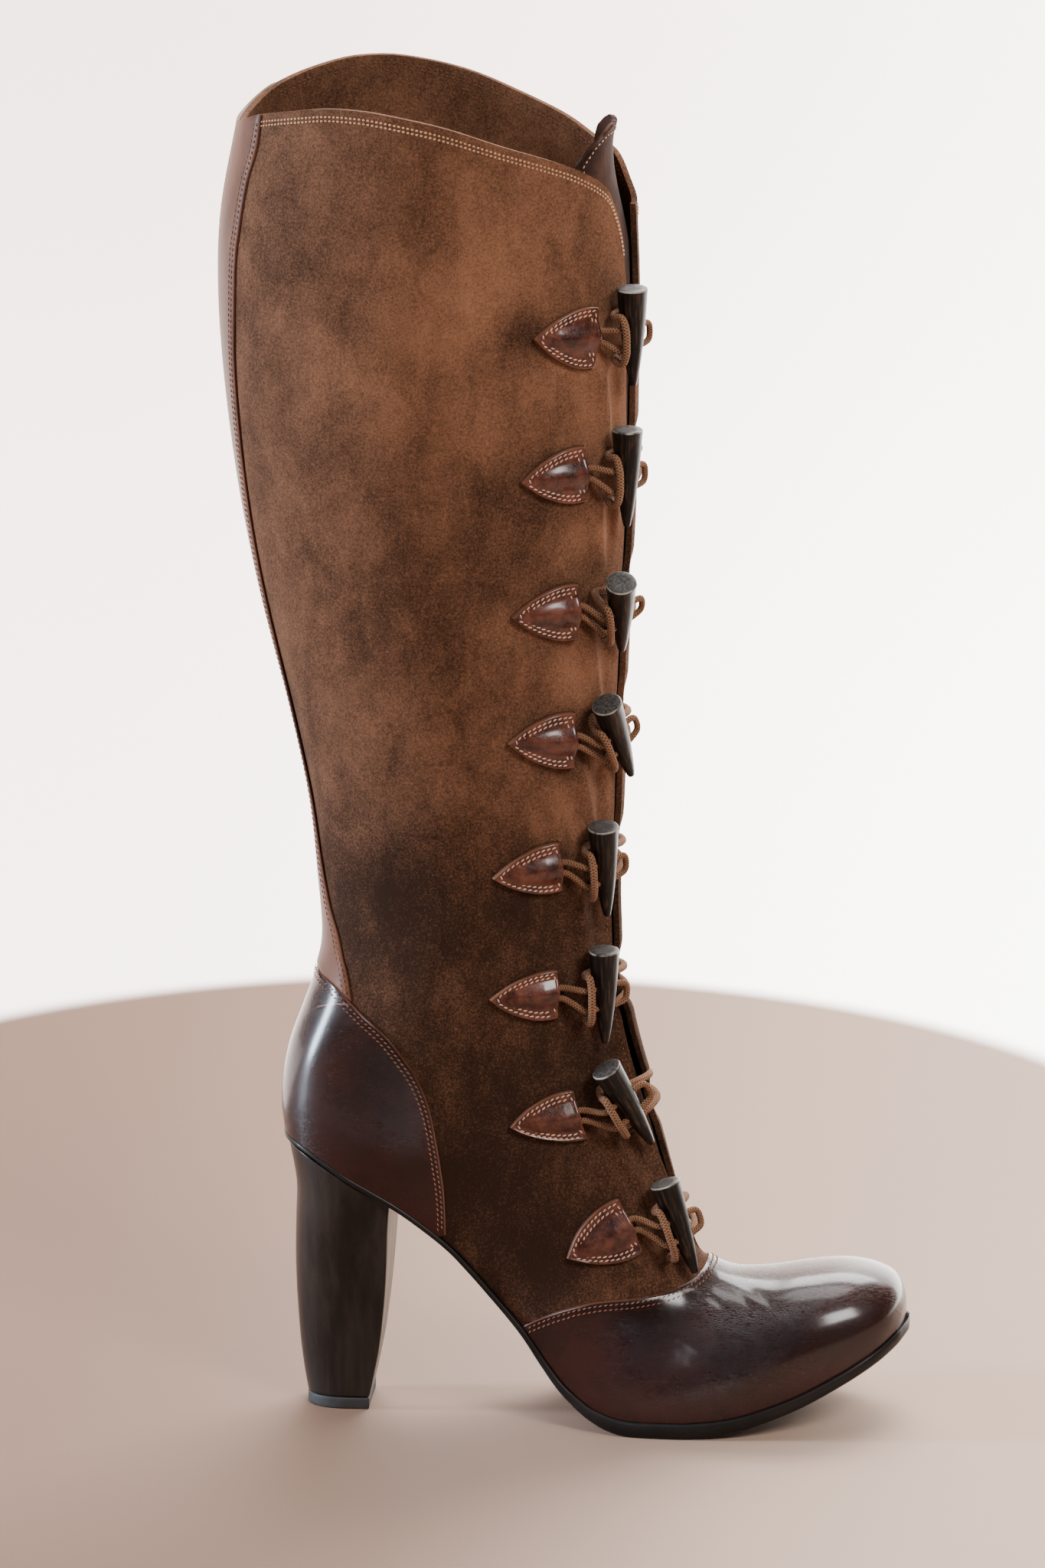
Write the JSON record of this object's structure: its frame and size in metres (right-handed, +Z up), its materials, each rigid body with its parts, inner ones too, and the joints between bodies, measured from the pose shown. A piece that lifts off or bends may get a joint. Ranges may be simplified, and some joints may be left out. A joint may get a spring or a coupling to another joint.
{
  "type": "toggle boot",
  "caption": "Knee-high suede and leather boot on a high block heel, with a front opening closed by horn toggles and cord loops.",
  "frame": {"origin": "centre of the bounding box in X and Y, on the floor plane", "axes": "+X towards the toe, +Y towards the inner side of the foot, +Z up"},
  "size_m": [0.2552, 0.1032, 0.5027],
  "materials": {
    "suede": "matte suede nap",
    "tongue_suede": "matte suede nap",
    "smooth_leather": "polished, creased",
    "strap_leather": "satin",
    "tab_leather": "polished, stitched",
    "cord": "woven, matte",
    "horn": "semi-matte with worn rims",
    "heel_leather": "satin",
    "lift_rubber": "matte",
    "sole_leather": "satin edge",
    "insole_leather": "matte"
  },
  "bodies": {
    "root": {"upper": "suede", "vamp": "smooth_leather", "counter": "smooth_leather", "back_strap": "strap_leather", "tongue": "tongue_suede", "insole": "insole_leather", "outsole": "sole_leather", "heel": "heel_leather", "top_lift": "lift_rubber", "tab_outer_1": "tab_leather", "tab_inner_1": "tab_leather", "toggle_1": "horn", "toggle_cord_1": "cord", "loop_cord_1": "cord", "tab_outer_2": "tab_leather", "tab_inner_2": "tab_leather", "toggle_2": "horn", "toggle_cord_2": "cord", "loop_cord_2": "cord", "tab_outer_3": "tab_leather", "tab_inner_3": "tab_leather", "toggle_3": "horn", "toggle_cord_3": "cord", "loop_cord_3": "cord", "tab_outer_4": "tab_leather", "tab_inner_4": "tab_leather", "toggle_4": "horn", "toggle_cord_4": "cord", "loop_cord_4": "cord", "tab_outer_5": "tab_leather", "tab_inner_5": "tab_leather", "toggle_5": "horn", "toggle_cord_5": "cord", "loop_cord_5": "cord", "tab_outer_6": "tab_leather", "tab_inner_6": "tab_leather", "toggle_6": "horn", "toggle_cord_6": "cord", "loop_cord_6": "cord", "tab_outer_7": "tab_leather", "tab_inner_7": "tab_leather", "toggle_7": "horn", "toggle_cord_7": "cord", "loop_cord_7": "cord", "tab_outer_8": "tab_leather", "tab_inner_8": "tab_leather", "toggle_8": "horn", "toggle_cord_8": "cord", "loop_cord_8": "cord"}
  },
  "joints": []
}
